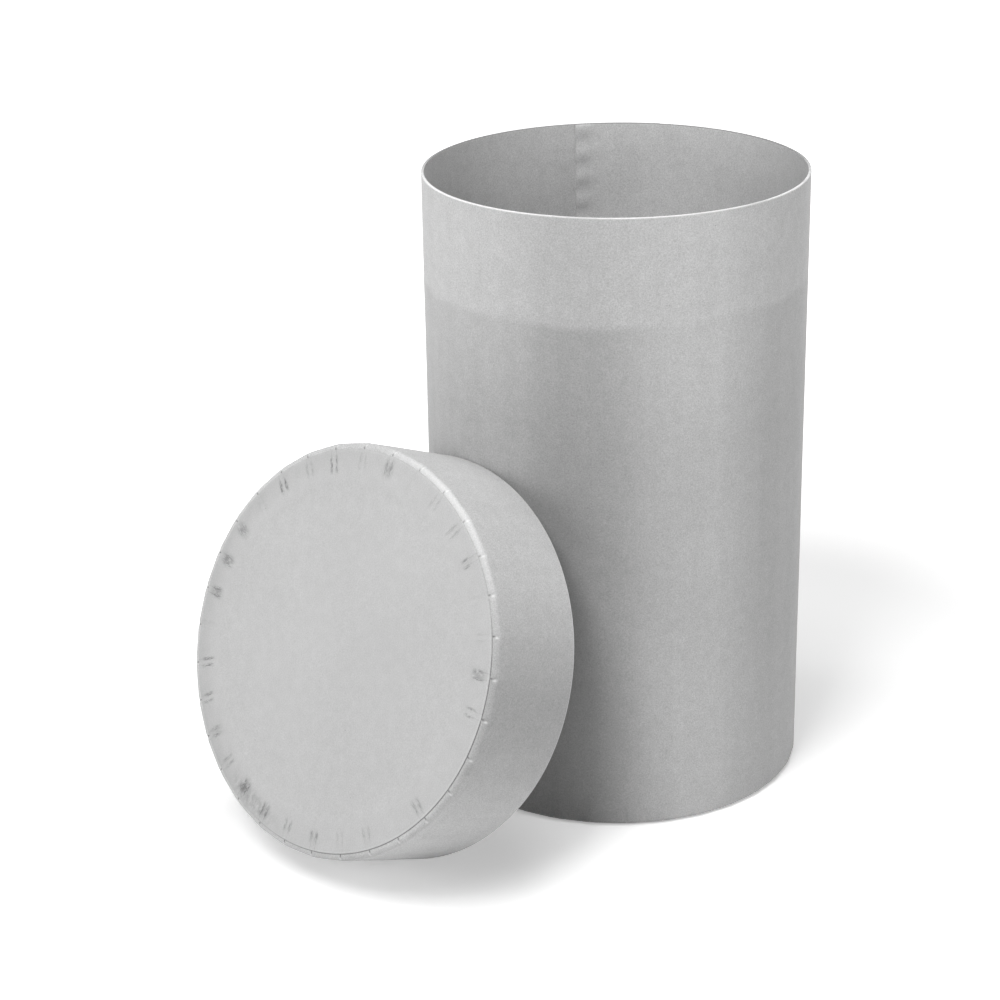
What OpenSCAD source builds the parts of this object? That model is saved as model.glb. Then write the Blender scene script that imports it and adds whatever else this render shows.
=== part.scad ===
// Fibre drum with a slip lid, both rolled and folded from grey board.
// The lid is off: it stands on its rim and leans on the wall of the drum.
// Millimetres, +Z up, origin in the middle of the drum's underside.

/* [Drum] */
// Outer diameter of the drum
drum_d = 300; // [240:2:380]
// Height of the drum with its base
drum_h = 492; // [420:2:700]
// Thickness of the drum's wall board
drum_wall_t = 2.2; // [1.4:0.1:3.2]

/* [Lid] */
// Depth of the lid over its top
lid_h = 87; // [50:1:140]
// Thickness of the lid's wall board
lid_wall_t = 2.4; // [1.4:0.1:3.2]
// Gap all round between the drum's wall and the inside of the lid
lid_gap = 3.6; // [2:0.1:6]

/* [Folded ends] */
// Number of tabs cut round a folded end
tab_count = 32; // [12:1:40]
// Reach of the tabs, from the outside of the wall
tab_reach = 28; // [15:1:50]
// Width of the slot between two tabs, under the glued sheet
tab_slot_w = 2.6; // [1:0.1:5]
// Width to which the fold closes that slot where it shows, outside the sheet
slit_w = 0.5; // [0.3:0.1:1]
// Wall left outside the pointed end of each slot
nick_depth = 0.9; // [0.5:0.1:2]
// Bearing of one of the drum's slots
drum_slot_a = 4; // [-6:0.5:6]
// Bearing of one of the lid's slots, in the lid's own frame, from its lowest point
lid_slot_a = -2.5; // [-6:0.5:6]
// Outer radius of the fold at the shoulder
fold_r = 4; // [3.4:0.1:8]

/* [End discs] */
// Thickness of the stiff disc inside each closed end
board_t = 3; // [1.5:0.1:6]
// Thickness of the sheet glued over the tabs
cover_t = 0.8; // [0.4:0.1:2]
// Distance from the outside of the wall in to the edge of that sheet
cover_inset = 5.5; // [3:0.1:9]
// Gap between a stiff disc and the lap of the wall round it
board_gap = 0.2; // [0.1:0.1:1]

/* [Rolled seams] */
// Thickness of one turn of the rolled board, the step at each seam
ply_t = 0.7; // [0.4:0.1:1.2]
// Angle over which a seam's step would thin away to nothing
lap_angle = 40; // [20:1:80]
// Bearing of the drum's inner seam, counted from +X towards +Y
drum_inner_seam = 103; // [0:1:359]
// Bearing of the drum's outer seam
drum_outer_seam = 76; // [0:1:120]
// Bearing of the lid's inner seam, in the lid's own frame
lid_inner_seam = 262; // [0:1:359]
// Bearing of the lid's outer seam, in the lid's own frame
lid_outer_seam = 288; // [240:1:300]

/* [Lid at rest] */
// Bearing that the lid's top faces, counted from +X towards +Y
lid_bearing = -131; // [-180:1:-90]
// Angle that the lid leans back from upright
lid_lean = 22; // [12:1:35]
// Sideways shift of the lid along the wall it leans on
lid_side = -22; // [-60:1:60]
// Gap left where the lid's rim meets the drum
lean_gap = 0.2; // [0.1:0.1:0.8]

/* [Hidden] */
$fn = 180;

drum_r = drum_d / 2;
lid_r = drum_r + lid_gap + lid_wall_t;

// Sides of the full circle that a fold's section is a quarter of
fold_sides = 32;
// Depth by which a seam's crescent runs into the wall that carries it
seam_bite = 0.4;
// Length by which a cutter runs past what it cuts
cut_over = 1;
// Height by which the slots stop short of the straight wall above the fold
slot_stop = 0.2;
// Share of the lap angle at which a crescent is cut off, a quarter of a ply thick
lap_share = 0.5;

// Height of the lid's middle axis at the open rim, with the rim's lowest point on the floor
lid_axis_z = lid_r * cos(lid_lean);

// How far the rim's middle stands from the drum's axis when the point at angle t touches the wall
touch_r = drum_r + lean_gap;
function rim_offset(t) = lid_side + lid_r * sin(t);
function rim_stand(t) =
    lid_r * sin(lid_lean) * cos(t) + sqrt(pow(touch_r, 2) - pow(rim_offset(t), 2));
lid_stand = max([for (t = [-90 : 0.25 : 90]) if (abs(rim_offset(t)) < touch_r) rim_stand(t)]);

// Section of a wall with its lower end folded inwards, standing on z = 0
module wall_section(outer_r, wall_t, height) {
    translate([outer_r - wall_t, fold_r])
        square([wall_t, height - fold_r]);
    translate([outer_r - tab_reach, 0])
        square([tab_reach - fold_r, wall_t]);
    intersection() {
        translate([outer_r - fold_r, fold_r])
            difference() {
                circle(r = fold_r, $fn = fold_sides);
                circle(r = fold_r - wall_t, $fn = fold_sides);
            }
        translate([outer_r - fold_r, 0])
            square(fold_r);
    }
}

// Slots between the tabs, each narrowed to a slit whose pointed end nicks the shoulder
module tab_slots(outer_r, slot_a) {
    for (i = [0 : tab_count - 1])
        rotate(slot_a + i * 360 / tab_count)
            translate([0, 0, -cut_over])
                linear_extrude(fold_r - slot_stop + cut_over)
                    polygon([
                        [outer_r - tab_reach - cut_over, -tab_slot_w / 2],
                        [outer_r - cover_inset - tab_slot_w, -tab_slot_w / 2],
                        [outer_r - cover_inset, -slit_w / 2],
                        [outer_r - nick_depth, 0],
                        [outer_r - cover_inset, slit_w / 2],
                        [outer_r - cover_inset - tab_slot_w, tab_slot_w / 2],
                        [outer_r - tab_reach - cut_over, tab_slot_w / 2]
                    ]);
}

// Wedge of plan between two bearings, for a seam's crescent
module plan_wedge(far_r, from_a, to_a, height) {
    mid_a = (from_a + to_a) / 2;
    linear_extrude(height)
        polygon([
            [0, 0],
            far_r * [cos(from_a), sin(from_a)],
            far_r * [cos(mid_a), sin(mid_a)],
            far_r * [cos(to_a), sin(to_a)]
        ]);
}

// Shift of the round surface that makes a crescent one ply thick at the seam
lap_shift = ply_t / (1 - cos(lap_angle));

// Inner end of the rolled board: a step of one ply that thins away from the seam
module inner_lap(inner_r, seam_a, z0, z1) {
    intersection() {
        translate([0, 0, z0])
            difference() {
                cylinder(r = inner_r + seam_bite, h = z1 - z0);
                translate([
                    lap_shift * cos(seam_a - lap_angle),
                    lap_shift * sin(seam_a - lap_angle),
                    -cut_over
                ])
                    cylinder(r = inner_r - lap_shift, h = z1 - z0 + 2 * cut_over);
            }
        translate([0, 0, z0])
            plan_wedge(2 * inner_r, seam_a - lap_share * lap_angle, seam_a, z1 - z0);
    }
}

// Outer end of the rolled board: the same step on the outside, thinning the other way
module outer_lap(outer_r, seam_a, z0, z1) {
    intersection() {
        translate([0, 0, z0])
            difference() {
                translate([
                    -lap_shift * cos(seam_a + lap_angle),
                    -lap_shift * sin(seam_a + lap_angle),
                    0
                ])
                    cylinder(r = outer_r + lap_shift, h = z1 - z0);
                translate([0, 0, -cut_over])
                    cylinder(r = outer_r - seam_bite, h = z1 - z0 + 2 * cut_over);
            }
        translate([0, 0, z0])
            plan_wedge(2 * outer_r, seam_a, seam_a + lap_share * lap_angle, z1 - z0);
    }
}

// Board rolled into a tube, its lower end cut into tabs and folded in
module rolled_wall(outer_r, wall_t, height, slot_a, inner_seam, outer_seam) {
    difference() {
        rotate_extrude()
            wall_section(outer_r, wall_t, height);
        tab_slots(outer_r, slot_a);
    }
    inner_lap(outer_r - wall_t, inner_seam, fold_r, height);
    outer_lap(outer_r, outer_seam, fold_r, height);
}

// Stiff disc that the tabs are folded over, its edge pressed in to clear the fold
module end_board(outer_r, wall_t) {
    disc_r = outer_r - wall_t - ply_t - board_gap;
    press = min(fold_r - wall_t, board_t / 2);
    translate([0, 0, wall_t])
        rotate_extrude()
            polygon([
                [0, 0],
                [disc_r - press, 0],
                [disc_r, press],
                [disc_r, board_t],
                [0, board_t]
            ]);
}

// Thin sheet glued over the tabs
module end_cover(outer_r) {
    translate([0, 0, -cover_t])
        cylinder(r = outer_r - cover_inset, h = cover_t);
}

// Takes a folded end that looks down at z = 0 to the top of the lid, and the lid to its leaning place
module lid_place() {
    rotate([0, 0, lid_bearing])
        translate([lid_stand, lid_side, lid_axis_z])
            rotate([0, 90 - lid_lean, 0])
                translate([0, 0, lid_h - cover_t])
                    mirror([0, 0, 1])
                        children();
}

module drum_wall() {
    color([0.68, 0.68, 0.68])
        translate([0, 0, cover_t])
            rolled_wall(drum_r, drum_wall_t, drum_h - cover_t,
                drum_slot_a, drum_inner_seam, drum_outer_seam);
}

module drum_board() {
    color([0.62, 0.62, 0.62])
        translate([0, 0, cover_t])
            end_board(drum_r, drum_wall_t);
}

module drum_cover() {
    color([0.72, 0.72, 0.72])
        translate([0, 0, cover_t])
            end_cover(drum_r);
}

module lid_wall() {
    color([0.74, 0.74, 0.74])
        lid_place()
            rolled_wall(lid_r, lid_wall_t, lid_h - cover_t,
                lid_slot_a, lid_inner_seam, lid_outer_seam);
}

module lid_board() {
    color([0.62, 0.62, 0.62])
        lid_place()
            end_board(lid_r, lid_wall_t);
}

module lid_cover() {
    color([0.78, 0.78, 0.78])
        lid_place()
            end_cover(lid_r);
}

drum_wall();
drum_board();
drum_cover();
lid_wall();
lid_board();
lid_cover();
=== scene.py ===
"""Models a fibre drum and its slip lid in rolled grey board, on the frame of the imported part.

Each wall is made as the real one is: a flat blank of board, slotted along one edge, that is
rolled up and folded in over the closed end. Lengths are metres and bearings are degrees.
"""

import math

import bpy
import numpy as np
from bpy.props import FloatProperty, FloatVectorProperty, IntProperty, PointerProperty
from mathutils import Matrix, Vector


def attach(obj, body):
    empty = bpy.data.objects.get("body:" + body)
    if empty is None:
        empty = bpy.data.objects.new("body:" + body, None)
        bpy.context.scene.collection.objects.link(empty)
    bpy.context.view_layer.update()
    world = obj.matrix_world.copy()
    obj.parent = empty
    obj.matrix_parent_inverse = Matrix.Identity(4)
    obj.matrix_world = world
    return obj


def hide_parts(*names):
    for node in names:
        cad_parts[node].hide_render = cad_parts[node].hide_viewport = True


bl_info = {
    "name": "Fibre drum with a slip lid",
    "version": (1, 0, 0),
    "blender": (4, 5, 0),
    "location": "View3D > Sidebar > Fibre drum",
    "description": "Models the rolled walls, stiff discs and glued sheets of a fibre drum",
    "category": "Add Mesh",
}

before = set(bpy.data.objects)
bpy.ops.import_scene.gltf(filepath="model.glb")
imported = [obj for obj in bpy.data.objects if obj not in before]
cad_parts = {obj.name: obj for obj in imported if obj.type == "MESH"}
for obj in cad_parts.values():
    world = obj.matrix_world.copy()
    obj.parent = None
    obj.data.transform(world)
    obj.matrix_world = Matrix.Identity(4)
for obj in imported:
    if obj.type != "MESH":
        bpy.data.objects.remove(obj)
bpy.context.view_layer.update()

MM = 0.001
SEED = 11
WHITE = (1, 1, 1, 1)

# Bearings of one slot and of the inner and outer seam, for each tube
SLOT_AT = {"drum": 4, "lid": -2.5}
INNER_SEAM = {"drum": 103, "lid": 262}
OUTER_SEAM = {"drum": 76, "lid": 288}

# Columns of vertices for each tab of a blank, and the one that becomes a slot's edge
COLUMNS_PER_TAB = 16
EDGE_COLUMN = 2
# Rows of vertices of a blank: at its rim, close below it, further down, at the fold, on the tabs
RIM_ROWS = (0.6 * MM, 2 * MM)
CLOSE_STEP = 5 * MM
CLOSE_ROWS_TO = 190 * MM
COARSE_STEP = 18 * MM
FOLD_ROWS = 8
TAB_ROW_SHARES = (0.08, 0.3, 0.6, 0.9)
# Bearing over which the step of a seam drops
SEAM_WIDTH = 0.04
# Distances within which cuts and corners fall together, and the angle that stays sharp
CUT_WITHIN = 1e-7
MERGE_WITHIN = 0.002 * MM
SHARP_ANGLE = 35
# Differences of bearing and of length that count as none
SAME_BEARING = 1e-3
SAME_LENGTH = 1e-6

# Least and most share of the full dent, slit and dip that a slot is given
PINCH_RANGE = (0.5, 1.3)
SLIT_RANGE = (0.3, 1)
DIP_RANGE = (0.3, 1)
# How far from the end of a slot its dent reaches, and from its middle its dip
PINCH_REACH = 1.5 * MM
DIP_REACH = 1.7 * MM
# Bearing of the puckers from the inner seam, their reach, and where they end
PUCKER_AT = 2.5
PUCKER_REACH = 2.8
PUCKER_END = 8
# Height over which a seam's step fades out above the fold
SEAM_FADE = 12 * MM

# Rings of vertices of a sheet and of a stiff disc, inwards from the edge
SHEET_RINGS = [
    at * MM
    for at in (0.4, 0.9, 1.4, 2, 4, 7, 10, 13, 16, 19, 22, 25, 28, 32,
               38, 46, 56, 70, 88, 108, 128, 142)
]
DISC_EDGE_RINGS = [0.3 * MM, 1.2 * MM, 3 * MM]
DISC_RING_SHARES = (0.08, 0.2, 0.35, 0.5, 0.65, 0.8, 0.92)
DISC_COLUMNS = 192
# Most that a sheet and a stiff disc swell out of true
SHEET_SWELL = 0.35 * MM
DISC_SWELL = 0.12 * MM
# Distance over which a sheet is pressed thin at its edge
EDGE_RUN = 2 * MM

# How strongly the lid's sheet is rubbed over each slot, counted round from the one at SLOT_AT
SCUFFS = (
    0.6, 0.7, 0.25, 0.4, 0, 0.45, 0, 0, 0.6, 0.9, 0.25, 0.1, 0.7, 0.45, 0.25, 0.05,
    0.5, 0.25, 0.9, 0.35, 0.9, 0.1, 0.3, 0.3, 0.7, 0.1, 0.8, 0.75, 0.6, 0.5, 1, 0.9,
)
# How strongly it is blotted there
BLOTS = (
    0.1, 0.2, 0, 0.1, 0, 0.2, 0, 0, 0, 0.5, 0, 0, 0.15, 0, 0, 0,
    0.6, 0, 0, 0, 0, 0, 0.7, 0.9, 0.7, 0, 0, 0, 0.3, 0.1, 1, 0.3,
)
# Slots by which the marks of the drum's sheet are turned from the lid's
DRUM_MARKS_TURN = 9

# Depth of the drum's clean neck below the rim, and bearings of a painted sheen band and a painted
# shade band on its side
NECK_DEPTH = 82 * MM
SHEEN_BAND_AT = -64
SHADE_BAND_AT = -101
# Bearings in the lid's own frame about which its fold gets painted shade and a painted highlight
SHADED_FOLD = 50
SHADED_FOLD_REACH = 95
LIT_FOLD = 152
LIT_FOLD_REACH = 42
# How far before its inner seam the drum's inside gets painted light on its paler ply, and painted
# shade, in radians
INSIDE_LIT = 0.45
INSIDE_SHADED = 1.7
INSIDE_REACH = 0.8
# Bearings in the lid's own frame about which its wall gets painted shade, and painted light from
# the floor below that
WALL_SHADE_AT = 92
WALL_LIT_AT = 45
# Bearing in the lid's own frame about which its sheet is smudged
SMUDGED_AT = -20

# The camera stands in front of the drum and looks down at it, turned a little to the left
CAMERA_AT = (0, -1.8610, 0.9583)
CAMERA_PAN = 2.872
CAMERA_PITCH = 21.716
CAMERA_ROLL = -0.997
CAMERA_LENS = 88.94
CAMERA_SENSOR = 36

# The point that the lights look at and their distance from it
LIGHT_AIM = (-0.05, -0.05, 0.25)
LIGHT_REACH = 2.8
# Bearing from the camera's side towards the right, height in degrees, size, power
LIGHTS = {
    "key": (-27, 53, 1.1, 45),
    "side": (-100, 10, 0.8, 16),
    "low_left": (-50, 12, 0.8, 7),
    "right": (68, 13, 0.9, 21),
    "overhead": (0, 88, 1.2, 37),
}
# Strength of the even light from all round
AMBIENT = 0.04
# Glow of the floor that the camera sees, near the object, and the distances where it rises to 1
FLOOR_GLOW = 0.32
GLOW_FROM = 0.42
GLOW_TO = 1.1
FLOOR_SIZE = 30


def length(name, description, millimetres):
    """A length property, its default given in millimetres."""
    return FloatProperty(
        name=name, description=description, default=millimetres * MM, unit="LENGTH"
    )


def colour(name, description, default):
    """A colour property that a user can pick."""
    return FloatVectorProperty(
        name=name, description=description, default=default, subtype="COLOR", min=0, max=1
    )


class DrumSizes(bpy.types.PropertyGroup):
    """Sizes of the board, its folds and its seams."""

    drum_wall_t: length("Drum wall", "Thickness of the drum's wall board", 2.2)
    lid_wall_t: length("Lid wall", "Thickness of the lid's wall board", 2.4)
    fold_r: length("Fold", "Outer radius of the fold at the shoulder", 4)
    tab_count: IntProperty(
        name="Tabs", description="Number of tabs cut round a folded end", default=32,
    )
    tab_reach: length("Tab reach", "Reach of the tabs from the outside of the wall", 28)
    slot_w: length("Slot", "Width of the slot between two tabs, under the glued sheet", 2.6)
    slit_w: length("Slit", "Width to which the fold closes a slot where it shows", 0.5)
    nick_depth: length("Nick", "Wall left outside the pointed end of each slot", 0.9)
    dent: length("Dent", "Depth to which the board is pinched in at each nick", 1)
    flat: length("Flat", "Depth of the flat that each tab's fold leaves at the shoulder", 0.6)
    flat_run: length("Flat's run", "Length of wall over which a flat dies away", 26)
    rim_r: length("Rim edge", "Radius worn on both edges of an open rim", 0.4)
    waver: length("Waver", "Most that a wall strays inwards from a true circle", 0.5)
    ply_t: length("Ply", "Thickness of one turn of the rolled board", 0.7)
    lap_angle: FloatProperty(
        name="Lap", description="Bearing over which a seam's step thins away", default=26,
    )
    pucker: length("Pucker", "Height of the puckers in the ply beside an inner seam", 0.8)
    pucker_step: length("Pucker step", "Distance from one pucker to the next", 20)
    board_t: length("Stiff disc", "Thickness of the stiff disc inside a closed end", 3)
    board_gap: length("Disc gap", "Gap between a stiff disc and the lap round it", 0.2)
    cover_t: length("Cover", "Thickness of the sheet glued over the tabs", 0.8)
    cover_inset: length("Cover inset", "Distance from the outside of the wall to that sheet", 5.5)
    cover_edge_t: length("Cover edge", "Thickness to which that sheet is pressed at its edge", 0.35)
    cover_dish: length("Dish", "Depth to which the sheet sinks inside the ring of tabs", 0.7)
    cover_dip: length("Dip", "Depth to which the sheet sinks over each slot", 0.35)


class DrumColours(bpy.types.PropertyGroup):
    """Colours of the board, clean, worn and cut, and of its dirt and painted shade."""

    body: colour("Body", "Wall of the drum, dulled by handling", (0.45, 0.45, 0.45))
    neck: colour("Neck", "Wall that the lid keeps clean", (0.56, 0.56, 0.56))
    inside: colour("Inside", "Inner face of both walls", (0.6, 0.6, 0.6))
    lid: colour("Lid", "Wall of the lid", (0.52, 0.52, 0.52))
    cover: colour("Cover", "Sheet glued over a closed end", (0.49, 0.49, 0.49))
    end_board: colour("Disc", "Stiff disc inside a closed end", (0.45, 0.45, 0.45))
    cut: colour("Cut edge", "Edge of the board where it was cut", (0.9, 0.9, 0.9))
    # Also the colour of painted shade in the slits, on the fold, under the sheet's edge and behind
    # the rim
    dirt_and_shade: colour("Dirt", "Scuffs, specks and rubbed marks", (0.13, 0.13, 0.13))
    floor: colour("Floor", "Floor and background", (0.8, 0.8, 0.8))


class Tube:
    """The place and reach of one rolled wall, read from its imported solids.

    place has its origin at the middle of the closed end, X towards its lowest side, Z from
    the closed end to the rim, and bearings counted as seen from above. upright is the same
    place with Z pointing up, for materials; the rim lies at rim_z there.
    """

    def __init__(self, name, sizes):
        cover = node_points(name + "_cover")
        wall = node_points(name + "_wall")
        inward = Vector(np.linalg.eigh(np.cov(cover.T))[1][:, 0]).normalized()
        if (wall.mean(0) - cover.mean(0)) @ np.array(inward) < 0:
            inward = -inward
        up = inward if inward.z > 0 else -inward
        down = Vector((0, 0, -1)) + up * up.z
        side = down.normalized() if down.length > 0.01 else Vector((1, 0, 0))
        turn = up.cross(side)
        spread = cover @ np.array((side, turn, inward)).T
        low, high = spread.min(0), spread.max(0)
        middle = (low + high) / 2
        origin = side * middle[0] + turn * middle[1] + inward * low[2]
        self.name = name
        self.place = axes_matrix(side, turn, inward, origin)
        self.upright = axes_matrix(side, turn, up, origin)
        self.radius = (high - low)[:2].max() / 2 + sizes.cover_inset
        self.depth = (wall @ np.array(inward)).max() - low[2]
        self.rim_z = self.depth * (1 if up == inward else -1)
        self.wall_t = sizes.drum_wall_t if name == "drum" else sizes.lid_wall_t


def node_points(node):
    """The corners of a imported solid's mesh, each once, to a thousandth of a millimetre."""
    return np.unique(read_points(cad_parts[node].data).round(6), axis=0)


def axes_matrix(x_axis, y_axis, z_axis, origin):
    """The matrix that has these axes and origin."""
    columns = Matrix((x_axis, y_axis, z_axis)).transposed().to_4x4()
    columns.translation = origin
    return columns


def read_points(mesh):
    """A mesh's vertices as rows."""
    flat = np.empty(len(mesh.vertices) * 3)
    mesh.vertices.foreach_get("co", flat)
    return flat.reshape(-1, 3)


def write_points(mesh, points):
    """Puts rows back as a mesh's vertices."""
    mesh.vertices.foreach_set("co", np.ascontiguousarray(points, float).ravel())
    mesh.update()


def face_middles(mesh):
    """The middle of each face of a mesh, one row each."""
    flat = np.empty(len(mesh.polygons) * 3)
    mesh.polygons.foreach_get("center", flat)
    return flat.reshape(-1, 3)


def ease(value, low, high):
    """0 below low, 1 above high, and a smooth rise between."""
    share = np.clip((value - low) / (high - low), 0, 1)
    return share * share * (3 - 2 * share)


def round_profile(value, reach):
    """1 at 0, falling smoothly and nearly to 0 beyond reach."""
    return np.exp(-((value / reach) ** 2))


def edit(piece):
    """Enters edit mode on a piece with all of it selected."""
    bpy.context.view_layer.objects.active = piece
    bpy.ops.object.mode_set(mode="EDIT")
    bpy.ops.mesh.select_mode(type="FACE")
    bpy.ops.mesh.select_all(action="SELECT")


def edit_faces(piece, chosen):
    """Enters edit mode on a piece with only the chosen faces selected."""
    edit(piece)
    bpy.ops.mesh.select_all(action="DESELECT")
    bpy.ops.object.mode_set(mode="OBJECT")
    piece.data.polygons.foreach_set("select", np.asarray(chosen, bool))
    bpy.ops.object.mode_set(mode="EDIT")


def object_mode():
    """Leaves edit mode."""
    bpy.ops.object.mode_set(mode="OBJECT")


def cut_across(piece, places, axis):
    """Cuts all of a piece's faces by planes square to one axis."""
    normal = [0, 0, 0]
    normal[axis] = 1
    for at in places:
        point = [0, 0, 0]
        point[axis] = at
        edit(piece)
        bpy.ops.mesh.bisect(plane_co=point, plane_no=normal, threshold=CUT_WITHIN)
        object_mode()


def slot_offset(bearing, slot_at, pitch):
    """Bearing from the nearest slot."""
    return (bearing - slot_at + pitch / 2) % pitch - pitch / 2


def row_places(straight, arc, reach):
    """Where rows of vertices lie on a wall's blank, counted from its rim."""
    close = np.arange(CLOSE_STEP, min(CLOSE_ROWS_TO, straight - 30 * MM), CLOSE_STEP)
    coarse = np.arange(CLOSE_ROWS_TO + 10 * MM, straight - 40 * MM, COARSE_STEP)
    fine = np.linspace(straight - 28 * MM, straight, 10)
    fold = straight + arc * np.arange(1, FOLD_ROWS + 1) / FOLD_ROWS
    tab = straight + arc + reach * np.array(TAB_ROW_SHARES)
    return np.concatenate([RIM_ROWS, close, coarse, fine, fold, tab])


def straight_run(tube, sizes):
    """Length of a wall's blank from its rim to the fold, and the length of the fold."""
    return tube.depth - sizes.cover_t - sizes.fold_r, sizes.fold_r * math.pi / 2


def wall_blank(tube, sizes):
    """The wall's board lying flat: X is its bearing, Y the distance from its rim, -Z its depth."""
    pitch = 360 / sizes.tab_count
    straight, arc = straight_run(tube, sizes)
    reach = sizes.tab_reach - sizes.fold_r
    run = straight + arc + reach
    half_turn = 180
    bpy.ops.mesh.primitive_grid_add(
        x_subdivisions=sizes.tab_count * COLUMNS_PER_TAB, y_subdivisions=1, size=2
    )
    blank = bpy.context.object
    blank.name = tube.name + "_wall_board"
    edit(blank)
    bpy.ops.transform.resize(value=(half_turn, run / 2, 1))
    bpy.ops.transform.translate(value=(half_turn, run / 2, 0))
    object_mode()
    gather_columns(blank, pitch)
    cut_across(blank, row_places(straight, arc, reach), 1)
    cut_slots(blank, sizes, straight)
    give_thickness(blank, tube.wall_t)
    rim_cuts = [-sizes.rim_r * share for share in (0.3, 1)]
    rim_cuts += [-tube.wall_t - at for at in rim_cuts]
    cut_across(blank, rim_cuts, 2)
    inner = INNER_SEAM[tube.name] - SLOT_AT[tube.name]
    outer = OUTER_SEAM[tube.name] - SLOT_AT[tube.name]
    cut_across(blank, [inner, inner + SEAM_WIDTH, outer - SEAM_WIDTH, outer], 0)
    open_ends(blank)
    return blank


def gather_columns(blank, pitch):
    """Moves the columns of a blank together towards its slots."""
    points = read_points(blank.data)
    column = np.round(points[:, 0] / pitch * COLUMNS_PER_TAB)
    half = COLUMNS_PER_TAB // 2
    step = (column + half) % COLUMNS_PER_TAB - half
    middle = (column - step) / COLUMNS_PER_TAB * pitch
    offset = np.sign(step) * (np.abs(step) / half) ** 2 * pitch / 2
    points[:, 0] = middle + offset
    write_points(blank.data, points)


def edge_offset(pitch):
    """Bearing from a slot's middle to the column that becomes its edge."""
    return (2 * EDGE_COLUMN / COLUMNS_PER_TAB) ** 2 * pitch / 2


def tip_run(sizes, straight):
    """Distance from the rim to the pointed ends of the slots."""
    bend = math.acos(1 - sizes.nick_depth / sizes.fold_r)
    row = math.ceil(bend / (math.pi / 2) * FOLD_ROWS) / FOLD_ROWS
    return straight + row * sizes.fold_r * math.pi / 2


def cut_slots(blank, sizes, straight):
    """Deletes the faces of the slots between the tabs."""
    pitch = 360 / sizes.tab_count
    middles = face_middles(blank.data)
    near = np.abs(slot_offset(middles[:, 0], 0, pitch)) < edge_offset(pitch)
    edit_faces(blank, near & (middles[:, 1] > tip_run(sizes, straight)))
    bpy.ops.mesh.delete(type="FACE")
    object_mode()


def give_thickness(blank, thickness):
    """Thickens a flat sheet downwards and applies it."""
    solid = blank.modifiers.new("thickness", "SOLIDIFY")
    solid.thickness = thickness
    solid.offset = -1
    bpy.ops.object.modifier_apply(modifier=solid.name)


def open_ends(blank):
    """Deletes the two end faces of a blank, which meet when it is rolled up."""
    middles = face_middles(blank.data)
    span = read_points(blank.data)[:, 0]
    at_start = middles[:, 0] < span.min() + SAME_BEARING
    at_end = middles[:, 0] > span.max() - SAME_BEARING
    edit_faces(blank, at_start | at_end)
    bpy.ops.mesh.delete(type="ONLY_FACE")
    object_mode()


def roll_up(blank, tube, sizes):
    """Rolls a blank into its tube and folds its tabs in, with all that hands leave in board."""
    points = read_points(blank.data)
    bearing, run, depth = points[:, 0] + SLOT_AT[tube.name], points[:, 1], -points[:, 2]
    straight, arc = straight_run(tube, sizes)
    past = run - straight
    bend = np.clip(past / sizes.fold_r, 0, math.pi / 2)
    tab = np.clip(past - arc, 0, None)
    bearing = bearing + slot_edges(points, tube, sizes, straight, tab)
    radius = tube.radius - sizes.fold_r + (sizes.fold_r - depth) * np.cos(bend) - tab
    height = sizes.cover_t + sizes.fold_r - (sizes.fold_r - depth) * np.sin(bend)
    height += np.clip(-past, 0, None)

    pitch = 360 / sizes.tab_count
    slotwise = slot_offset(bearing, SLOT_AT[tube.name], pitch) / (pitch / 2)
    flat = sizes.flat * (1 - (1 - np.abs(slotwise)) ** 2)
    radius -= flat * ease(past, -sizes.flat_run, -1 * MM)
    radius -= stray(bearing, height, sizes.waver)

    dent = nick_dents(bearing, slotwise, run, tube, sizes)
    radius -= dent * np.cos(bend)
    height += dent * np.sin(bend)

    upper = 1 - ease(past, -SEAM_FADE, 0)
    inside = depth > tube.wall_t / 2
    from_inner = (INNER_SEAM[tube.name] - bearing) % 360
    step = sizes.ply_t * lap_share(from_inner, sizes) + puckers(from_inner, run, sizes)
    radius -= np.where(inside, step, 0) * upper
    from_outer = (bearing - OUTER_SEAM[tube.name]) % 360
    radius += np.where(inside, 0, sizes.ply_t * lap_share(from_outer, sizes)) * upper

    edge = np.minimum(depth, tube.wall_t - depth)
    fall = np.clip(sizes.rim_r - edge, 0, None)
    fall = sizes.rim_r - np.sqrt(sizes.rim_r**2 - fall**2)
    height -= np.where(run < SAME_LENGTH, fall, 0)

    turn = np.radians(bearing)
    write_points(blank.data, np.stack([radius * np.cos(turn), radius * np.sin(turn), height], 1))


def nick_dents(bearing, slotwise, run, tube, sizes):
    """How deep the board is pinched in round the pointed end of each slot."""
    pitch = 360 / sizes.tab_count
    aside = np.radians(slotwise * pitch / 2) * tube.radius
    from_tip = np.hypot(aside, run - tip_run(sizes, straight_run(tube, sizes)[0]))
    pinch = np.random.default_rng(SEED).uniform(*PINCH_RANGE, sizes.tab_count + 1)
    number = np.round((bearing - SLOT_AT[tube.name]) / pitch).astype(int) % sizes.tab_count
    return sizes.dent * pinch[number] * round_profile(from_tip, PINCH_REACH)


def lap_share(from_seam, sizes):
    """Share of a ply's thickness that is left at this bearing from its seam."""
    return np.clip(1 - from_seam / sizes.lap_angle, 0, 1) ** 2


def puckers(from_inner, run, sizes):
    """Height of the puckers in the ply that ends at the inner seam."""
    ripple = np.sin(run / sizes.pucker_step * 2 * math.pi)
    ripple *= round_profile(from_inner - PUCKER_AT, PUCKER_REACH)
    return sizes.pucker * np.where(from_inner < PUCKER_END, ripple, 0)


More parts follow.
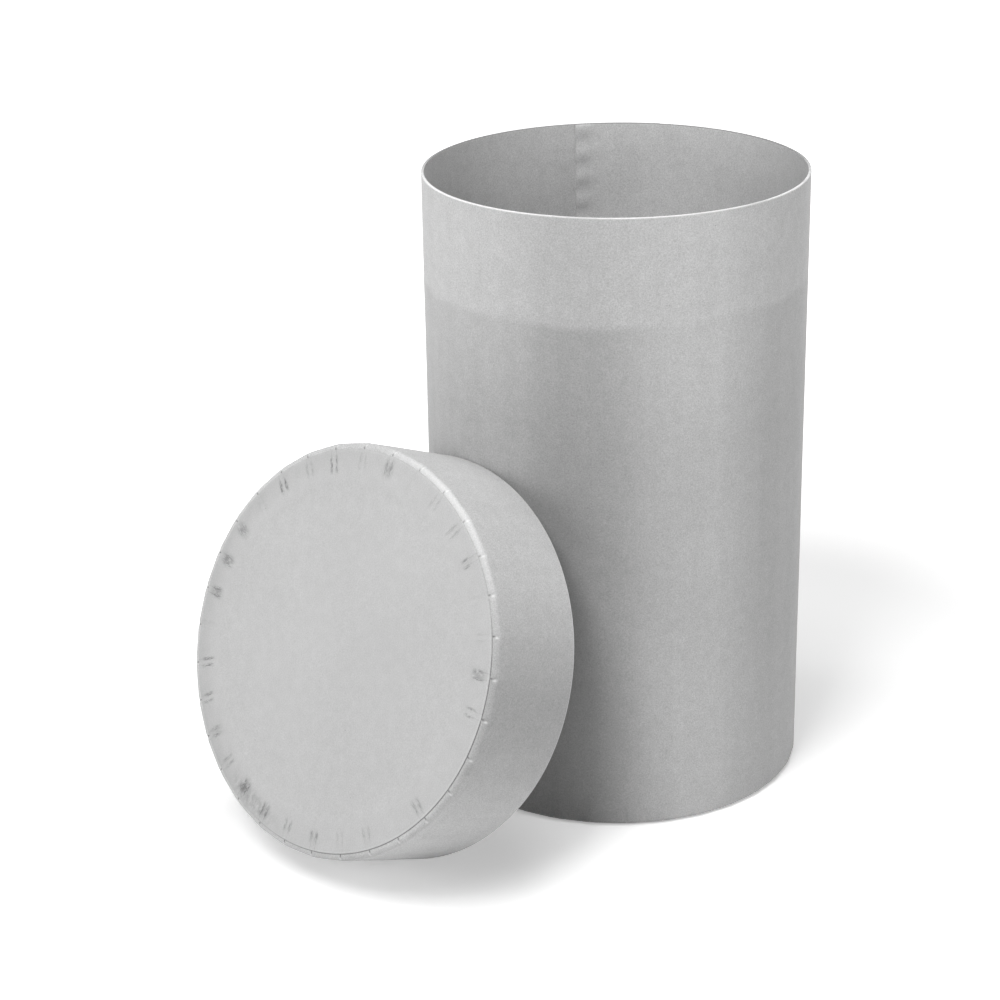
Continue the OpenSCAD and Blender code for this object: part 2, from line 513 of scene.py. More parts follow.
def slot_edges(points, tube, sizes, straight, tab):
    """How far the columns beside a slot turn, so that it is pointed and then parallel."""
    pitch = 360 / sizes.tab_count
    offset = slot_offset(points[:, 0], 0, pitch)
    beside = np.abs(np.abs(offset) - edge_offset(pitch)) < SAME_BEARING
    tip = tip_run(sizes, straight)
    shown = straight + sizes.fold_r * (math.pi / 2 - 1) + sizes.cover_inset
    number = np.round(points[:, 0] / pitch).astype(int) % sizes.tab_count
    share = np.random.default_rng(SEED + 2).uniform(*SLIT_RANGE, sizes.tab_count)
    slit = sizes.slit_w * share[number]
    width = slit * (0.1 + 0.9 * np.clip((points[:, 1] - tip) / (shown - tip), 0, 1) ** 3)
    width += (sizes.slot_w - slit) * np.clip((points[:, 1] - shown) / sizes.slot_w, 0, 1)
    half = np.degrees(width / 2 / (tube.radius - sizes.fold_r - tab))
    wanted = np.sign(offset) * half - offset
    return np.where(beside & (points[:, 1] > tip - SAME_LENGTH), wanted, 0)


def stray(bearing, height, most):
    """How far a wall strays inwards from a true circle, from 0 to most.

    Four waves run round it, each with its own twist; their heights add up to half of 4.6.
    """
    turn = np.radians(bearing)
    wave = np.sin(2 * turn + 0.7 + 3 * height) + 0.7 * np.sin(3 * turn + 2.3 - 5 * height)
    wave += 0.35 * np.sin(7 * turn + 31 * height) + 0.25 * np.sin(11 * turn - 47 * height + 1)
    return most * (0.5 + wave / 4.6)


def disc_blank(name, radius, insets, thickness, columns):
    """A round slab of board on z = 0, its rings of vertices at these insets from its edge."""
    bpy.ops.mesh.primitive_circle_add(vertices=columns, radius=radius, fill_type="NOTHING")
    disc = bpy.context.object
    disc.name = name
    edit(disc)
    bpy.ops.mesh.select_mode(type="EDGE")
    bpy.ops.mesh.select_all(action="SELECT")
    now = radius
    for inset in insets:
        share = (radius - inset) / now
        now = radius - inset
        bpy.ops.mesh.extrude_edges_move()
        bpy.ops.transform.resize(value=(share, share, 1), center_override=(0, 0, 0))
    bpy.ops.mesh.extrude_edges_move()
    bpy.ops.mesh.merge(type="CENTER")
    bpy.ops.mesh.select_all(action="SELECT")
    bpy.ops.mesh.extrude_region_move(TRANSFORM_OT_translate={"value": (0, 0, thickness)})
    object_mode()
    return disc


def shape_cover(sheet, tube, sizes):
    """Sinks a cover sheet over the slots and inside the ring of tabs that it is glued to."""
    points = read_points(sheet.data)
    radius = np.hypot(points[:, 0], points[:, 1])
    bearing = np.degrees(np.arctan2(points[:, 1], points[:, 0]))
    pitch = 360 / sizes.tab_count
    offset = slot_offset(bearing, SLOT_AT[tube.name], pitch)
    across = np.radians(offset) * radius
    tab_end = tube.radius - sizes.tab_reach
    dish = sizes.cover_dish * (1 - ease(radius, tab_end - 9 * MM, tab_end + 2 * MM))
    over_slot = ease(radius, tab_end - 3 * MM, tab_end + 4 * MM)
    depth = np.random.default_rng(SEED + 1).uniform(*DIP_RANGE, sizes.tab_count)
    number = np.round((bearing - SLOT_AT[tube.name]) / pitch).astype(int) % sizes.tab_count
    dip = sizes.cover_dip * depth[number] * round_profile(across, DIP_REACH) * over_slot
    turn = np.radians(bearing)
    swell = 0.5 + 0.25 * np.sin(3 * turn + 60 * radius) + 0.25 * np.sin(2 * turn - 40 * radius)
    swell *= SHEET_SWELL * (1 - ease(radius, 0.5 * tab_end, tab_end))
    pressed = sizes.cover_t - sizes.cover_edge_t
    pressed = pressed * ease(radius, radius.max() - EDGE_RUN, radius.max())
    outside = points[:, 2] < sizes.cover_t / 2
    points[:, 2] += dish + dip + swell + np.where(outside, pressed, 0)
    write_points(sheet.data, points)
    turned = DRUM_MARKS_TURN if tube.name == "drum" else 0
    for name, strengths in (("scuff", SCUFFS), ("blot", BLOTS)):
        marks = sheet.data.attributes.new(name, "FLOAT", "POINT")
        marks.data.foreach_set("value", np.roll(strengths, turned)[number].astype(np.float32))


def press_edge(disc, tube, sizes):
    """Presses in the edge of a stiff disc where it lies in the fold."""
    points = read_points(disc.data)
    radius = np.hypot(points[:, 0], points[:, 1])
    press = min(sizes.fold_r - tube.wall_t, sizes.board_t / 2)
    lower = (points[:, 2] < sizes.board_t / 2) & (radius > radius.max() - press)
    shrink = np.where(lower, (radius.max() - press) / np.maximum(radius, SAME_LENGTH), 1)
    points[:, :2] *= shrink[:, None]
    turn = np.arctan2(points[:, 1], points[:, 0])
    swell = np.sin(2 * turn + 25 * radius) + np.sin(3 * turn - 33 * radius + 1)
    fade = 1 - ease(radius, 0.5 * radius.max(), 0.95 * radius.max())
    points[:, 2] += DISC_SWELL * swell * fade
    write_points(disc.data, points)


def finish_piece(piece, tube, node):
    """Merges, places and smooths a piece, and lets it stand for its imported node."""
    edit(piece)
    bpy.ops.mesh.remove_doubles(threshold=MERGE_WITHIN)
    object_mode()
    piece.matrix_world = tube.place
    bpy.ops.object.select_all(action="DESELECT")
    piece.select_set(True)
    bpy.context.view_layer.objects.active = piece
    bpy.ops.object.transform_apply(location=True, rotation=True, scale=True)
    edit(piece)
    bpy.ops.mesh.normals_make_consistent(inside=False)
    object_mode()
    bpy.ops.object.shade_smooth_by_angle(angle=math.radians(SHARP_ANGLE))
    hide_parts(node)
    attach(piece, "root")


class Shading:
    """A node tree being filled, with short calls for the nodes that it is made of."""

    def __init__(self, owner):
        owner.use_nodes = True
        self.tree = owner.node_tree
        self.tree.nodes.clear()

    def node(self, kind, inputs=None, **settings):
        """Adds a node, with its settings and its inputs set or linked."""
        made = self.tree.nodes.new("ShaderNode" + kind)
        for name, value in settings.items():
            setattr(made, name, value)
        for key, value in (inputs or {}).items():
            if isinstance(value, bpy.types.NodeSocket):
                self.tree.links.new(value, made.inputs[key])
            else:
                made.inputs[key].default_value = value
        return made

    def maths(self, operation, *values):
        """The result of one sum."""
        return self.node("Math", dict(enumerate(values)), operation=operation).outputs[0]

    def rise(self, value, low, high):
        """0 below low, 1 above high, and a smooth rise between."""
        return self.node("MapRange", {
            "Value": value, "From Min": low, "From Max": high,
        }, interpolation_type="SMOOTHSTEP").outputs["Result"]

    def fall(self, value, low, high):
        """1 below low, 0 above high."""
        return self.maths("SUBTRACT", 1.0, self.rise(value, low, high))

    def hump(self, value, middle, reach):
        """1 where a value is at the middle, falling smoothly to 0 at reach from it."""
        return self.fall(self.maths("ABSOLUTE", self.maths("SUBTRACT", value, middle)), 0.0, reach)

    def both(self, *masks):
        """The product of several masks."""
        product = masks[0]
        for mask in masks[1:]:
            product = self.maths("MULTIPLY", product, mask)
        return product

    def mix(self, share, first, second):
        """Two colours mixed by a share."""
        return self.node("Mix", {0: share, 6: first, 7: second}, data_type="RGBA").outputs[2]

    def lay(self, shade, colour, share, *masks):
        """A colour laid over another where all the masks meet, at most to this share."""
        return self.mix(self.both(*masks, share), shade, colour)

    def tone(self, shade, value, amount):
        """A colour made lighter and darker by a pattern about 0.5."""
        factor = self.maths("MULTIPLY_ADD", value, 2 * amount, 1 - amount)
        grey = self.node("CombineColor", {0: factor, 1: factor, 2: factor}).outputs[0]
        made = {0: 1.0, 6: shade, 7: grey}
        return self.node("Mix", made, data_type="RGBA", blend_type="MULTIPLY").outputs[2]

    def lift(self, shade, value, amount):
        """A colour made lighter and darker by a value from -1 to 1."""
        return self.tone(shade, self.maths("MULTIPLY_ADD", value, 0.5, 0.5), amount)


class Finish(Shading):
    """A board's material, whose patterns lie in the own frame of the tube that it is on."""

    def __init__(self, name, tube):
        self.material = bpy.data.materials.new(name)
        super().__init__(self.material)
        self.here = self.node("Mapping", {
            "Vector": self.node("TexCoord").outputs["Object"],
            "Location": tube.upright.translation,
            "Rotation": tube.upright.to_euler(),
        }, vector_type="TEXTURE").outputs["Vector"]
        self.x, self.y, self.z = self.node("SeparateXYZ", {"Vector": self.here}).outputs
        square_x = self.maths("MULTIPLY", self.x, self.x)
        self.radius = self.maths("SQRT", self.maths("MULTIPLY_ADD", self.y, self.y, square_x))
        self.bearing = self.maths("ARCTAN2", self.y, self.x)

    def facing(self, middle, reach):
        """1 at a bearing in degrees, falling smoothly to 0 at reach from it."""
        return self.hump(self.bearing, math.radians(middle), math.radians(reach))

    def noise(self, scale, detail=3, roughness=0.55, stretch=(1, 1, 1), shift=0, where=None):
        """Cloudy noise about 0.5, its grains 1 / scale metres wide."""
        spread = self.node("Mapping", {
            "Vector": where or self.here, "Scale": stretch, "Location": (shift, shift, shift),
        }).outputs["Vector"]
        return self.node("TexNoise", {
            "Vector": spread, "Scale": scale, "Detail": detail, "Roughness": roughness,
        }).outputs["Fac"]

    def close(self, shade, relief, roughness, bump_mm, specular=0.25):
        """Puts the shader and the bump on and returns the material."""
        bump = self.node("Bump", {"Height": relief, "Strength": 1.0, "Distance": bump_mm * MM})
        shader = self.node("BsdfPrincipled", {
            "Base Color": shade,
            "Roughness": roughness,
            "Specular IOR Level": specular,
            "Normal": bump.outputs["Normal"],
        })
        self.node("OutputMaterial", {"Surface": shader.outputs[0]})
        return self.material


def rgba(value):
    """A colour with its alpha."""
    return (*value, 1)


def fibres(finish, shade, blotch, grain):
    """Adds the clouds, mottling and grain of raw board to a colour, and gives its relief."""
    clouds = finish.noise(scale=9, detail=2)
    blotches = finish.noise(scale=110, detail=3, roughness=0.6)
    grains = finish.noise(scale=1000, detail=2, roughness=0.7)
    shade = finish.tone(shade, clouds, amount=0.07)
    shade = finish.tone(shade, blotches, blotch)
    shade = finish.tone(shade, grains, grain)
    return shade, finish.maths("MULTIPLY_ADD", blotches, 0.6, grains)


def specks(finish, shade, dirt_and_shade, cell, size, rare):
    """Adds dark specks to a colour: size is in cells, rare the share of cells left clean."""
    spots = finish.node("TexVoronoi", {"Vector": finish.here, "Scale": 1 / cell})
    chance = finish.node("SeparateColor", {0: spots.outputs["Color"]})
    near = finish.fall(spots.outputs["Distance"], size * 0.4, size)
    kept = finish.rise(chance.outputs[0], rare, rare + 0.02)
    weight = finish.maths("MULTIPLY_ADD", chance.outputs[1], 0.6, 0.3)
    return finish.lay(shade, dirt_and_shade, weight, near, kept)


def slot_place(finish, tube, sizes):
    """Distance across the nearest slot's middle, and the slot's own number."""
    pitch = 2 * math.pi / sizes.tab_count
    turned = finish.maths("SUBTRACT", finish.bearing, math.radians(SLOT_AT[tube.name]))
    slots = finish.maths("ADD", finish.maths("DIVIDE", turned, pitch), sizes.tab_count + 0.5)
    share = finish.maths("SUBTRACT", finish.maths("FRACT", slots), 0.5)
    across = finish.maths("MULTIPLY", finish.maths("MULTIPLY", share, pitch), finish.radius)
    return across, finish.maths("FLOOR", slots)


def wall_finish(tube, sizes, colours):
    """Raw rolled board: the drum's has a clean neck, and both are plainer inside."""
    finish = Finish(tube.name + " wall board", tube)
    dirt_and_shade = rgba(colours.dirt_and_shade)
    outer = finish.rise(finish.radius, tube.radius - tube.wall_t, tube.radius - 0.4 * tube.wall_t)
    level = finish.maths("ABSOLUTE", finish.z)
    outer = finish.maths("MAXIMUM", outer, finish.fall(level, 5 * MM, 7 * MM))
    if tube.name == "drum":
        shade = finish.mix(outer, drum_inside(finish, colours), drum_tones(finish, tube, colours))
    else:
        shade = finish.mix(outer, rgba(colours.inside), lid_tones(finish, colours))
    shade, relief = fibres(finish, shade, blotch=0.1, grain=0.46)
    drawn = finish.noise(scale=70, detail=3, stretch=(1, 1, 0.04), shift=3)
    shade = finish.tone(shade, drawn, amount=0.06)
    shade = specks(finish, shade, dirt_and_shade, cell=8 * MM, size=0.06, rare=0.86)
    shade = specks(finish, shade, dirt_and_shade, cell=3 * MM, size=0.11, rare=0.9)
    shade = fold_light_and_shade(finish, tube, sizes, level, shade, dirt_and_shade)
    worn = finish.rise(level, tube.depth - 1.1 * MM, tube.depth - 0.5 * MM)
    shade = finish.lay(shade, rgba(colours.cut), 0.6, worn, outer)
    return finish.close(shade, relief, roughness=0.6, bump_mm=0.05, specular=0.45)


def drum_inside(finish, colours):
    """The drum's inner face: the ply that ends at the seam is paler and carries painted light, and
    painted shade lies further round.
    """
    seam = math.radians(INNER_SEAM["drum"])
    ply = finish.fall(finish.bearing, seam - 0.01, seam)
    # Painted light on the paler ply before the seam, and painted shade further round
    pale = finish.hump(finish.bearing, seam - INSIDE_LIT, INSIDE_REACH)
    dull = finish.hump(finish.bearing, seam - INSIDE_SHADED, INSIDE_REACH)
    value = finish.maths("SUBTRACT", finish.both(ply, pale), dull)
    return finish.lift(rgba(colours.inside), value, amount=0.18)


def lid_tones(finish, colours):
    """The lid's outside, with painted shade about one bearing and painted light from the floor
    below that.
    """
    # Painted shade across the side of the wall, and painted light from the floor nearer its bottom
    dull = finish.facing(WALL_SHADE_AT, reach=34)
    pale = finish.maths("MULTIPLY", finish.facing(WALL_LIT_AT, reach=28), 0.8)
    return finish.lift(rgba(colours.lid), finish.maths("SUBTRACT", pale, dull), amount=0.2)


def drum_tones(finish, tube, colours):
    """The drum's outside: clean where the lid covers it, with a painted sheen band and a painted
    shade band below.
    """
    ragged = finish.maths("MULTIPLY_ADD", finish.noise(scale=14, detail=2), 12 * MM, -6 * MM)
    level = finish.maths("ADD", finish.z, ragged)
    neck_end = tube.rim_z - NECK_DEPTH
    neck = finish.rise(level, neck_end - 4 * MM, neck_end + 4 * MM)
    soft = finish.rise(level, neck_end - 110 * MM, neck_end)
    clean = finish.maths("MULTIPLY_ADD", soft, 0.35, finish.maths("MULTIPLY", neck, 0.65))
    shade = finish.mix(clean, rgba(colours.body), rgba(colours.neck))
    # Painted sheen about one bearing and painted shade about another, weaker on the neck
    pale = finish.facing(SHEEN_BAND_AT, reach=28)
    dark = finish.facing(SHADE_BAND_AT, reach=24)
    below_neck = finish.maths("MULTIPLY_ADD", neck, -0.6, 1.0)
    value = finish.maths("MULTIPLY", finish.maths("SUBTRACT", pale, dark), below_neck)
    return finish.lift(shade, value, amount=0.19)


def fold_light_and_shade(finish, tube, sizes, level, shade, dirt_and_shade):
    """Painted shade where each slot opens beside the sheet and over one side of the fold, and
    painted highlights on the other side of the fold and beside each slot.
    """
    across, _ = slot_place(finish, tube, sizes)
    shown = finish.hump(finish.radius, tube.radius - sizes.cover_inset + 1 * MM, 2 * MM)
    near_end = finish.fall(level, 2.5 * MM, 3.5 * MM)
    # Painted shade in the opening of each slot
    shade = finish.lay(shade, dirt_and_shade, 0.85, finish.hump(across, 0.0, 1.1 * MM), shown, near_end)
    # Painted shade over the fold on the side away from the light
    fold = finish.fall(level, 3 * MM, 5.5 * MM)
    shade = finish.lay(shade, dirt_and_shade, 0.08, fold, finish.facing(SHADED_FOLD, SHADED_FOLD_REACH))
    # Painted highlight on the fold where it faces the light
    tight = finish.fall(level, 1.5 * MM, 4 * MM)
    shade = finish.lay(shade, WHITE, 0.32, tight, finish.facing(LIT_FOLD, LIT_FOLD_REACH))
    # Painted highlight on the lit side of each nick's dent
    beside = finish.hump(finish.maths("ADD", across, 1.3 * MM), 0.0, 1.4 * MM)
    dent_band = finish.hump(finish.radius, tube.radius - 2.2 * MM, 1.8 * MM)
    return finish.lay(shade, WHITE, 0.4, beside, dent_band, near_end)


def cut_finish(tube, sizes, colours):
    """The cut edge of a rolled wall, pale in front and with painted shade behind, with a thin line
    between its plies.
    """
    finish = Finish(tube.name + " cut edge", tube)
    dirt_and_shade = rgba(colours.dirt_and_shade)
    worn = finish.noise(scale=260, detail=4, roughness=0.7)
    turns = finish.maths("DIVIDE", finish.radius, sizes.ply_t)
    turns = finish.maths("MULTIPLY_ADD", worn, 0.5, turns)
    across_ply = finish.maths("SUBTRACT", finish.maths("FRACT", turns), 0.5)
    line = finish.rise(finish.maths("ABSOLUTE", across_ply), 0.4, 0.5)
    # Painted shade on the back of the rim; the front keeps the cut's pale colour
    front_side = finish.fall(finish.y, -60 * MM, 60 * MM)
    shade = finish.mix(front_side, finish.mix(0.4, rgba(colours.body), dirt_and_shade), rgba(colours.cut))
    shade = finish.lay(shade, dirt_and_shade, 0.4, line)
    shade = finish.tone(shade, worn, amount=0.2)
    handled = finish.rise(finish.noise(scale=22, detail=2, shift=7), 0.56, 0.68)
    shade = finish.lay(shade, rgba(colours.body), 0.35, handled)
    return finish.close(shade, worn, roughness=0.92, bump_mm=0.25)


def cover_finish(tube, sizes, colours):
    """Thin glued sheet, rubbed and blotted where it lies over the edges of the tabs."""
    finish = Finish(tube.name + " cover sheet", tube)
    dirt_and_shade = rgba(colours.dirt_and_shade)
    shade, relief = fibres(finish, rgba(colours.cover), blotch=0.08, grain=0.26)
    polar = finish.node("CombineXYZ", {
        "X": finish.maths("MULTIPLY", finish.bearing, tube.radius), "Y": finish.radius,
    }).outputs[0]
    smear = finish.noise(
        scale=300, detail=4, roughness=0.65, stretch=(1, 0.5, 1), shift=2, where=polar
    )
    shade = slot_marks(finish, tube, sizes, polar, smear, shade, dirt_and_shade)
    shade = sheet_smudge_and_patches(finish, tube, smear, shade, dirt_and_shade)
    shade = sheet_edge(finish, tube, sizes, shade, colours)
    shade = specks(finish, shade, dirt_and_shade, cell=9 * MM, size=0.08, rare=0.94)
    return finish.close(shade, relief, roughness=0.6, bump_mm=0.03, specular=0.45)


def slot_marks(finish, tube, sizes, polar, smear, shade, dirt_and_shade):
    """Strokes, threads and blots rubbed into a sheet over the slots beneath it."""
    middle_line, number = slot_place(finish, tube, sizes)
    luck = finish.node("TexWhiteNoise", {"W": number}, noise_dimensions="1D")
    each = finish.node("SeparateColor", {0: luck.outputs["Color"]}).outputs
    scratch = finish.noise(scale=1100, detail=3, roughness=0.6, stretch=(1, 0.22, 1), where=polar)
    wander = finish.maths("MULTIPLY_ADD", smear, 4 * MM, -2 * MM)
    aside = finish.maths("MULTIPLY_ADD", each[0], 2.4 * MM, -1.2 * MM)
    across = finish.maths("ADD", middle_line, finish.maths("ADD", wander, aside))
    from_line = finish.maths("ABSOLUTE", across)

    strokes = finish.hump(from_line, 2.6 * MM, 2.1 * MM)
    inner_end = finish.maths("MULTIPLY_ADD", each[1], 4 * MM, tube.radius - 23 * MM)
    outer_end = finish.maths("MULTIPLY_ADD", each[2], 5 * MM, tube.radius - 13 * MM)
    begun = finish.rise(finish.maths("SUBTRACT", finish.radius, inner_end), -2 * MM, 3 * MM)
    unended = finish.fall(finish.maths("SUBTRACT", finish.radius, outer_end), -4 * MM, 2 * MM)
    scuff = finish.node("Attribute", attribute_name="scuff").outputs["Fac"]
    patchy = finish.rise(scratch, 0.36, 0.58)
    reach = finish.both(begun, unended)
    shade = finish.lay(shade, dirt_and_shade, 0.95, strokes, reach, patchy, scuff)

    thread = finish.hump(from_line, 2.4 * MM, 0.5 * MM)
    outward = finish.rise(finish.radius, tube.radius - 18 * MM, tube.radius - 12 * MM)
    shade = finish.lay(shade, dirt_and_shade, 0.3, thread, outward, scuff)

    middle = finish.hump(across, 0.0, 7.5 * MM)
    spot = finish.hump(finish.radius, tube.radius - 16 * MM, 10 * MM)
    blot = finish.node("Attribute", attribute_name="blot").outputs["Fac"]
    cloud = finish.maths("MULTIPLY_ADD", scratch, 0.6, finish.maths("MULTIPLY", smear, 0.4))
    cloudy = finish.rise(cloud, 0.36, 0.58)
    return finish.lay(shade, dirt_and_shade, 0.9, middle, spot, cloudy, blot)


def sheet_smudge_and_patches(finish, tube, smear, shade, dirt_and_shade):
    """A smudge at one bearing round a sheet's border, and darker patches along the border down one
    side.
    """
    ring = finish.hump(finish.radius, tube.radius - 14 * MM, 11 * MM)
    spread = finish.rise(smear, 0.34, 0.62)
    smudged = finish.facing(SMUDGED_AT, reach=17)
    shade = finish.lay(shade, dirt_and_shade, 0.45, smudged, ring, spread)
    # Darker in patches along the border, down one side
    one_side = finish.fall(finish.y, -120 * MM, 60 * MM)
    border = finish.rise(finish.radius, tube.radius - 28 * MM, tube.radius - 4 * MM)
    patches = finish.maths("MULTIPLY_ADD", finish.noise(scale=38, detail=4, shift=5), 0.8, 0.1)
    return finish.lay(shade, dirt_and_shade, 0.34, border, one_side, patches)


def sheet_edge(finish, tube, sizes, shade, colours):
    """The edge of a sheet on the side away from the light: a pale ring, and a painted shadow line
    outside it.
    """
    shaded_side = finish.facing(SHADED_FOLD, SHADED_FOLD_REACH)
    edge = tube.radius - sizes.cover_inset
    pale = finish.hump(finish.radius, edge - 1.3 * MM, 1.1 * MM)
    shade = finish.lay(shade, rgba(colours.cut), 0.25, pale, shaded_side)
    # Painted shadow along the sheet's edge
    line = finish.rise(finish.radius, edge - 0.5 * MM, edge - 0.35 * MM)
    return finish.lay(shade, rgba(colours.dirt_and_shade), 0.85, line, finish.rise(shaded_side, 0.1, 0.6))


def disc_finish(tube, colours):
    """Pressed board of the stiff disc inside a closed end."""
    finish = Finish(tube.name + " stiff disc", tube)
    shade, relief = fibres(finish, rgba(colours.end_board), blotch=0.2, grain=0.3)
    # Darker in a ring towards the disc's edge, where it lies in the fold
    ring = finish.rise(finish.radius, tube.radius - 22 * MM, tube.radius - 2 * MM)
    shade = finish.lay(shade, rgba(colours.dirt_and_shade), 0.12, ring)
    shade = specks(finish, shade, rgba(colours.dirt_and_shade), cell=8 * MM, size=0.06, rare=0.86)
    return finish.close(shade, relief, roughness=0.9, bump_mm=0.2)


def both_tubes(context):
    """The drum's tube and the lid's, with the sizes and colours that they are made to."""
    sizes = context.scene.fibre_drum_sizes
    return [Tube("drum", sizes), Tube("lid", sizes)], sizes, context.scene.fibre_drum_colours


class FIBREDRUM_OT_walls(bpy.types.Operator):
    """Rolls up the walls of the drum and the lid and folds in their tabs"""

    bl_idname = "fibre_drum.walls"
    bl_label = "Rolled walls"

    def execute(self, context):
        tubes, sizes, colours = both_tubes(context)
        for tube in tubes:
            bpy.ops.object.select_all(action="DESELECT")
            wall = wall_blank(tube, sizes)
            roll_up(wall, tube, sizes)
            at_rim = face_middles(wall.data)[:, 2] > tube.depth - 0.7 * sizes.rim_r
            wall.data.materials.append(wall_finish(tube, sizes, colours))
            wall.data.materials.append(cut_finish(tube, sizes, colours))
            wall.data.polygons.foreach_set("material_index", at_rim.astype(np.int32))
            finish_piece(wall, tube, tube.name + "_wall")
        return {"FINISHED"}


class FIBREDRUM_OT_boards(bpy.types.Operator):
    """Makes the stiff disc inside each closed end"""

    bl_idname = "fibre_drum.boards"
    bl_label = "Stiff discs"

    def execute(self, context):
        tubes, sizes, colours = both_tubes(context)
        for tube in tubes:
            bpy.ops.object.select_all(action="DESELECT")
            radius = tube.radius - tube.wall_t - sizes.ply_t - sizes.board_gap
            rings = DISC_EDGE_RINGS + [radius * share for share in DISC_RING_SHARES]
            name = tube.name + "_stiff_disc"
            disc = disc_blank(name, radius, rings, sizes.board_t, DISC_COLUMNS)
            press_edge(disc, tube, sizes)
            disc.data.transform(Matrix.Translation((0, 0, sizes.cover_t + tube.wall_t)))
            disc.data.materials.append(disc_finish(tube, colours))
            finish_piece(disc, tube, tube.name + "_board")
        return {"FINISHED"}


class FIBREDRUM_OT_covers(bpy.types.Operator):
    """Makes the thin sheet glued over the tabs of each closed end"""

    bl_idname = "fibre_drum.covers"
    bl_label = "Cover sheets"

    def execute(self, context):
        tubes, sizes, colours = both_tubes(context)
        for tube in tubes:
            bpy.ops.object.select_all(action="DESELECT")
            radius = tube.radius - sizes.cover_inset
            columns = sizes.tab_count * COLUMNS_PER_TAB
            name = tube.name + "_cover_sheet"
            sheet = disc_blank(name, radius, SHEET_RINGS, sizes.cover_t, columns)
            shape_cover(sheet, tube, sizes)
            sheet.data.materials.append(cover_finish(tube, sizes, colours))
            finish_piece(sheet, tube, tube.name + "_cover")
        return {"FINISHED"}


def area_light(name, turn, lift, size, power):
    """A square soft light that looks at the object from one side, its angles in degrees."""
    turn, lift = math.radians(turn), math.radians(lift)
    level = math.cos(lift)
    out = Vector((math.sin(turn) * level, -math.cos(turn) * level, math.sin(lift)))
    lamp = bpy.data.lights.new(name, "AREA")
    lamp.size = size
    lamp.energy = power
    made = bpy.data.objects.new(name, lamp)
    made.location = Vector(LIGHT_AIM) + out * LIGHT_REACH
    made.rotation_euler = (-out).to_track_quat("-Z", "Y").to_euler()
    bpy.context.scene.collection.objects.link(made)


def floor_finish(colours):
    """A pale floor that the camera sees as white, but for the object's shadow."""
    material = bpy.data.materials.new("pale floor")
    shading = Shading(material)
    rays = shading.node("LightPath").outputs
    seen = shading.maths("MAXIMUM", rays["Is Camera Ray"], rays["Is Glossy Ray"])
    seen = shading.maths("MAXIMUM", seen, rays["Is Transmission Ray"])
    place = shading.node("TexCoord").outputs["Object"]
    away = shading.node("VectorMath", {0: place}, operation="LENGTH").outputs["Value"]
    glow = shading.node("MapRange", {
        "Value": away, "From Min": GLOW_FROM, "From Max": GLOW_TO,
        "To Min": FLOOR_GLOW, "To Max": 1.0,
    }).outputs["Result"]
    plain = shading.node("BsdfDiffuse", {"Color": rgba(colours.floor)})
    white = shading.node("BsdfDiffuse", {"Color": WHITE})
    lit = shading.node("Emission", {"Color": WHITE, "Strength": glow})
    shown = shading.node("AddShader", {0: white.outputs[0], 1: lit.outputs[0]})
    mix = shading.node("MixShader", {0: seen, 1: plain.outputs[0], 2: shown.outputs[0]})
    shading.node("OutputMaterial", {"Surface": mix.outputs[0]})
    return material


def studio_world():
    """Faint even light from all round, with white behind the floor."""
    world = bpy.data.worlds.new("studio")
    bpy.context.scene.world = world
    shading = Shading(world)
    rays = shading.node("LightPath").outputs
    seen = shading.maths("MAXIMUM", rays["Is Camera Ray"], rays["Is Glossy Ray"])
    strength = shading.maths("MULTIPLY_ADD", seen, 1 - AMBIENT, AMBIENT)
    even = shading.node("Background", {"Color": WHITE, "Strength": strength})
    shading.node("OutputWorld", {"Surface": even.outputs[0]})


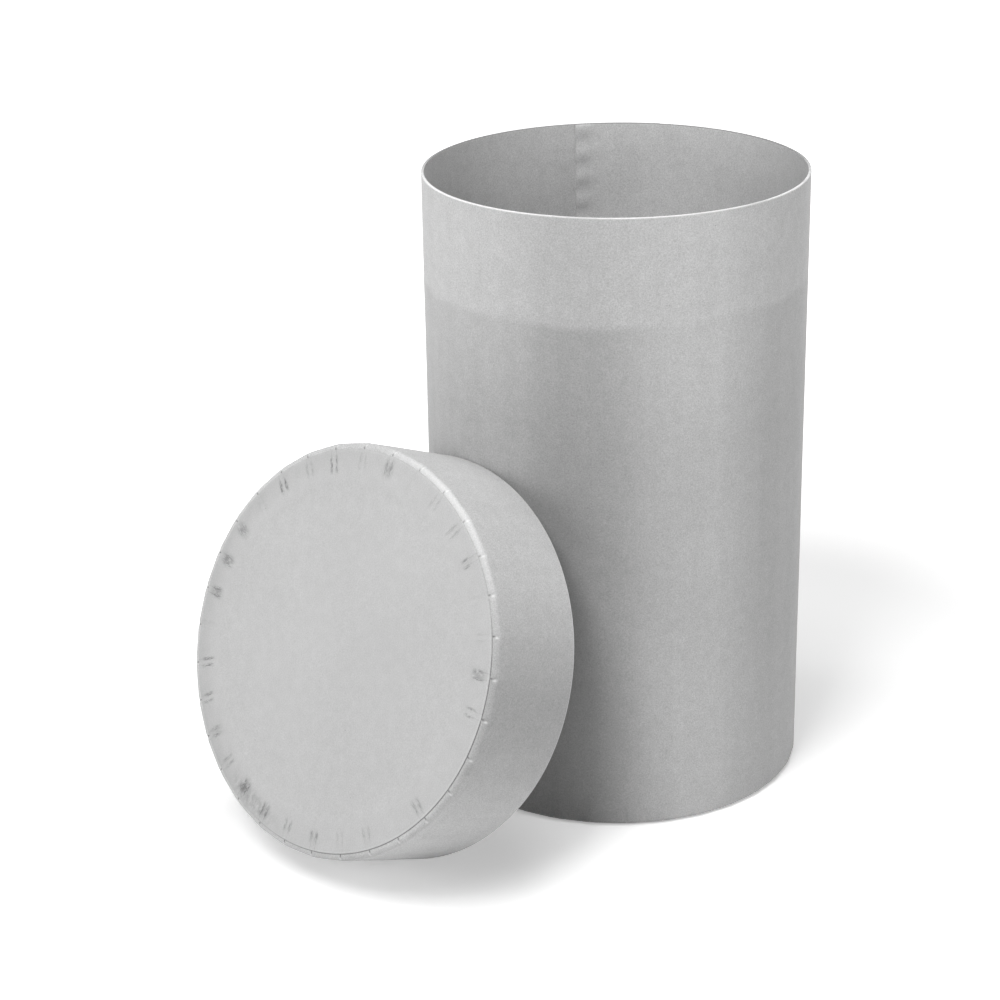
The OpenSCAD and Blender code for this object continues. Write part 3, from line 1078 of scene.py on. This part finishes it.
class FIBREDRUM_OT_stage(bpy.types.Operator):
    """Sets up the floor, the soft lights and the camera"""

    bl_idname = "fibre_drum.stage"
    bl_label = "Stage"

    def execute(self, context):
        colours = context.scene.fibre_drum_colours
        bpy.ops.object.select_all(action="DESELECT")
        bpy.ops.mesh.primitive_plane_add(size=FLOOR_SIZE, location=(0, 0, 0))
        floor = context.object
        floor.name = "floor"
        floor.data.materials.append(floor_finish(colours))
        studio_world()
        for name, light in LIGHTS.items():
            area_light(name, *light)
        lens = bpy.data.cameras.new("camera")
        lens.lens = CAMERA_LENS
        lens.sensor_width = CAMERA_SENSOR
        camera = bpy.data.objects.new("camera", lens)
        turn = Matrix.Rotation(math.radians(CAMERA_PAN), 4, "Z")
        turn = turn @ Matrix.Rotation(math.radians(90 - CAMERA_PITCH), 4, "X")
        turn = turn @ Matrix.Rotation(math.radians(CAMERA_ROLL), 4, "Z")
        camera.matrix_world = Matrix.Translation(CAMERA_AT) @ turn
        context.scene.collection.objects.link(camera)
        context.scene.camera = camera
        context.scene.view_settings.view_transform = "Standard"
        return {"FINISHED"}


class FIBREDRUM_PT_panel(bpy.types.Panel):
    """Lists the drum's sizes, its colours and its pieces"""

    bl_label = "Fibre drum"
    bl_idname = "FIBREDRUM_PT_panel"
    bl_space_type = "VIEW_3D"
    bl_region_type = "UI"
    bl_category = "Fibre drum"

    def draw(self, context):
        for group in (context.scene.fibre_drum_sizes, context.scene.fibre_drum_colours):
            box = self.layout.box()
            for name in group.bl_rna.properties.keys():
                if name not in ("rna_type", "name"):
                    box.prop(group, name)
        for operator in OPERATORS:
            self.layout.operator(operator.bl_idname)


OPERATORS = (
    FIBREDRUM_OT_walls,
    FIBREDRUM_OT_boards,
    FIBREDRUM_OT_covers,
    FIBREDRUM_OT_stage,
)
CLASSES = (DrumSizes, DrumColours, *OPERATORS, FIBREDRUM_PT_panel)


def register():
    """Registers the add-on's classes and puts its sizes and colours on the scene."""
    for item in CLASSES:
        bpy.utils.register_class(item)
    bpy.types.Scene.fibre_drum_sizes = PointerProperty(type=DrumSizes)
    bpy.types.Scene.fibre_drum_colours = PointerProperty(type=DrumColours)


def unregister():
    """Takes the add-on's classes and properties away again."""
    del bpy.types.Scene.fibre_drum_colours
    del bpy.types.Scene.fibre_drum_sizes
    for item in reversed(CLASSES):
        bpy.utils.unregister_class(item)


def main():
    """Registers the add-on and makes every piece."""
    register()
    bpy.ops.fibre_drum.walls()
    bpy.ops.fibre_drum.boards()
    bpy.ops.fibre_drum.covers()
    bpy.ops.fibre_drum.stage()


if __name__ == "__main__":
    main()
